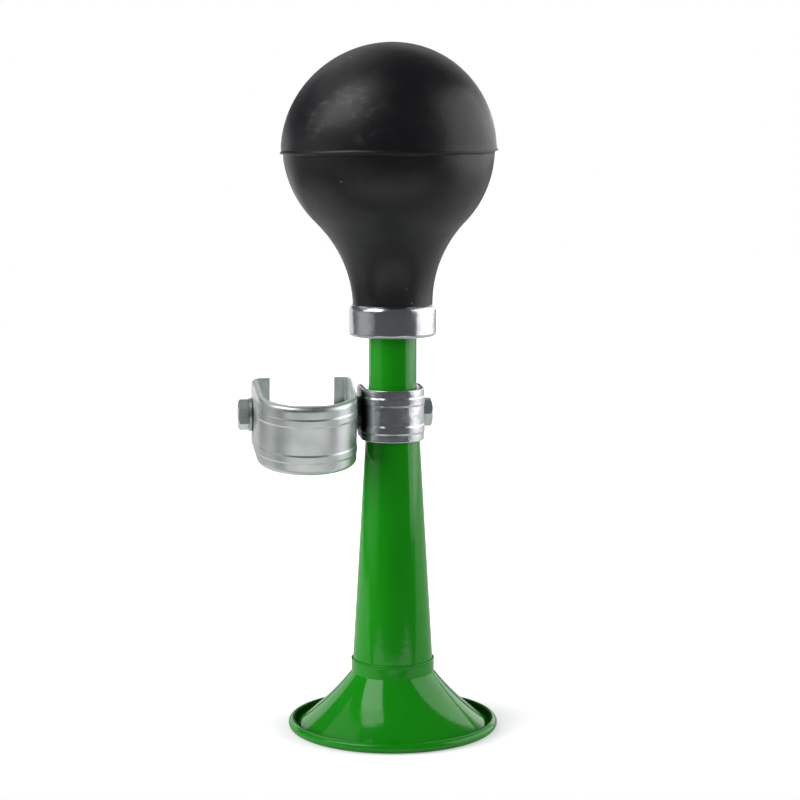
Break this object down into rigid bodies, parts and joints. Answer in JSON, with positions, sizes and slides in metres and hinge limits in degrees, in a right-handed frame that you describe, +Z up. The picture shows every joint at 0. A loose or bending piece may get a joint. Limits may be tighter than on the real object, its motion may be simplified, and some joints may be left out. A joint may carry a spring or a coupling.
{
  "type": "bulb horn",
  "caption": "Squeeze-bulb reed horn: black rubber bulb in a chrome ferrule, painted conical horn with a flared bell, and a bolted strap clamp for a handlebar.",
  "frame": {"origin": "centre of the bell's mouth, on the plane that the rolled rim stands on", "axes": "+Z up the horn's axis from the bell to the bulb; the clamp bolt lies along X, with its head and the handlebar strap on the -X side; -Y is the front in the picture"},
  "size_m": [0.0673, 0.0556, 0.1776],
  "materials": {
    "rubber": "satin moulded rubber",
    "green_paint": "gloss green enamel",
    "chrome": "polished chrome plate",
    "zinc_plate": "bright zinc plate",
    "brass": "rolled brass",
    "moulding": "moulded plastic"
  },
  "bodies": {
    "horn": {"horn_cone": "green_paint", "bell_flare": "green_paint", "bulb_ferrule": "chrome", "neck_bush": "moulding", "reed_plug": "moulding", "reed_shallot": "brass", "reed_wedge": "brass"},
    "reed": {"reed_tongue": "brass"},
    "bulb": {"rubber_bulb": "rubber"},
    "tube_clamp": {"horn_strap": "chrome", "swivel_washer": "zinc_plate"},
    "bar_clamp": {"handlebar_strap": "zinc_plate", "head_washer": "zinc_plate"},
    "bolt": {"clamp_bolt": "zinc_plate"},
    "nut": {"clamp_nut": "zinc_plate"}
  },
  "joints": [
    {"name": "strap_turn", "type": "hinge", "parent": "horn", "child": "tube_clamp", "pos_m": [0, 0, 0.08175], "axis": [0, 0, 1], "continuous": true},
    {"name": "clamp_swivel", "type": "hinge", "parent": "tube_clamp", "child": "bar_clamp", "pos_m": [0, 0.00942, 0.08175], "axis": [1, 0, 0], "continuous": true},
    {"name": "bolt_turn", "type": "hinge", "parent": "tube_clamp", "child": "bolt", "pos_m": [0, 0.00942, 0.08175], "axis": [-1, 0, 0], "range_deg": [0, 1440]},
    {"name": "nut_travel", "type": "slide", "parent": "tube_clamp", "child": "nut", "axis": [1, 0, 0], "range_m": [0, 0.0028]},
    {"name": "bulb_squeeze", "type": "slide", "parent": "horn", "child": "bulb", "axis": [-1, 0, 0], "range_m": [0, 0.01], "stiffness_N_per_m": 900, "deforming": ["rubber_bulb"]},
    {"name": "reed_flex", "type": "hinge", "parent": "horn", "child": "reed", "pos_m": [0, -0.0012, 0.1154], "axis": [-1, 0, 0], "range_deg": [0, 2.2], "stiffness_Nm_per_rad": 0.004}
  ],
  "couplings": [
    {"joint": "bolt_turn", "follows": "nut_travel", "rad_per_m": 8976}
  ]
}
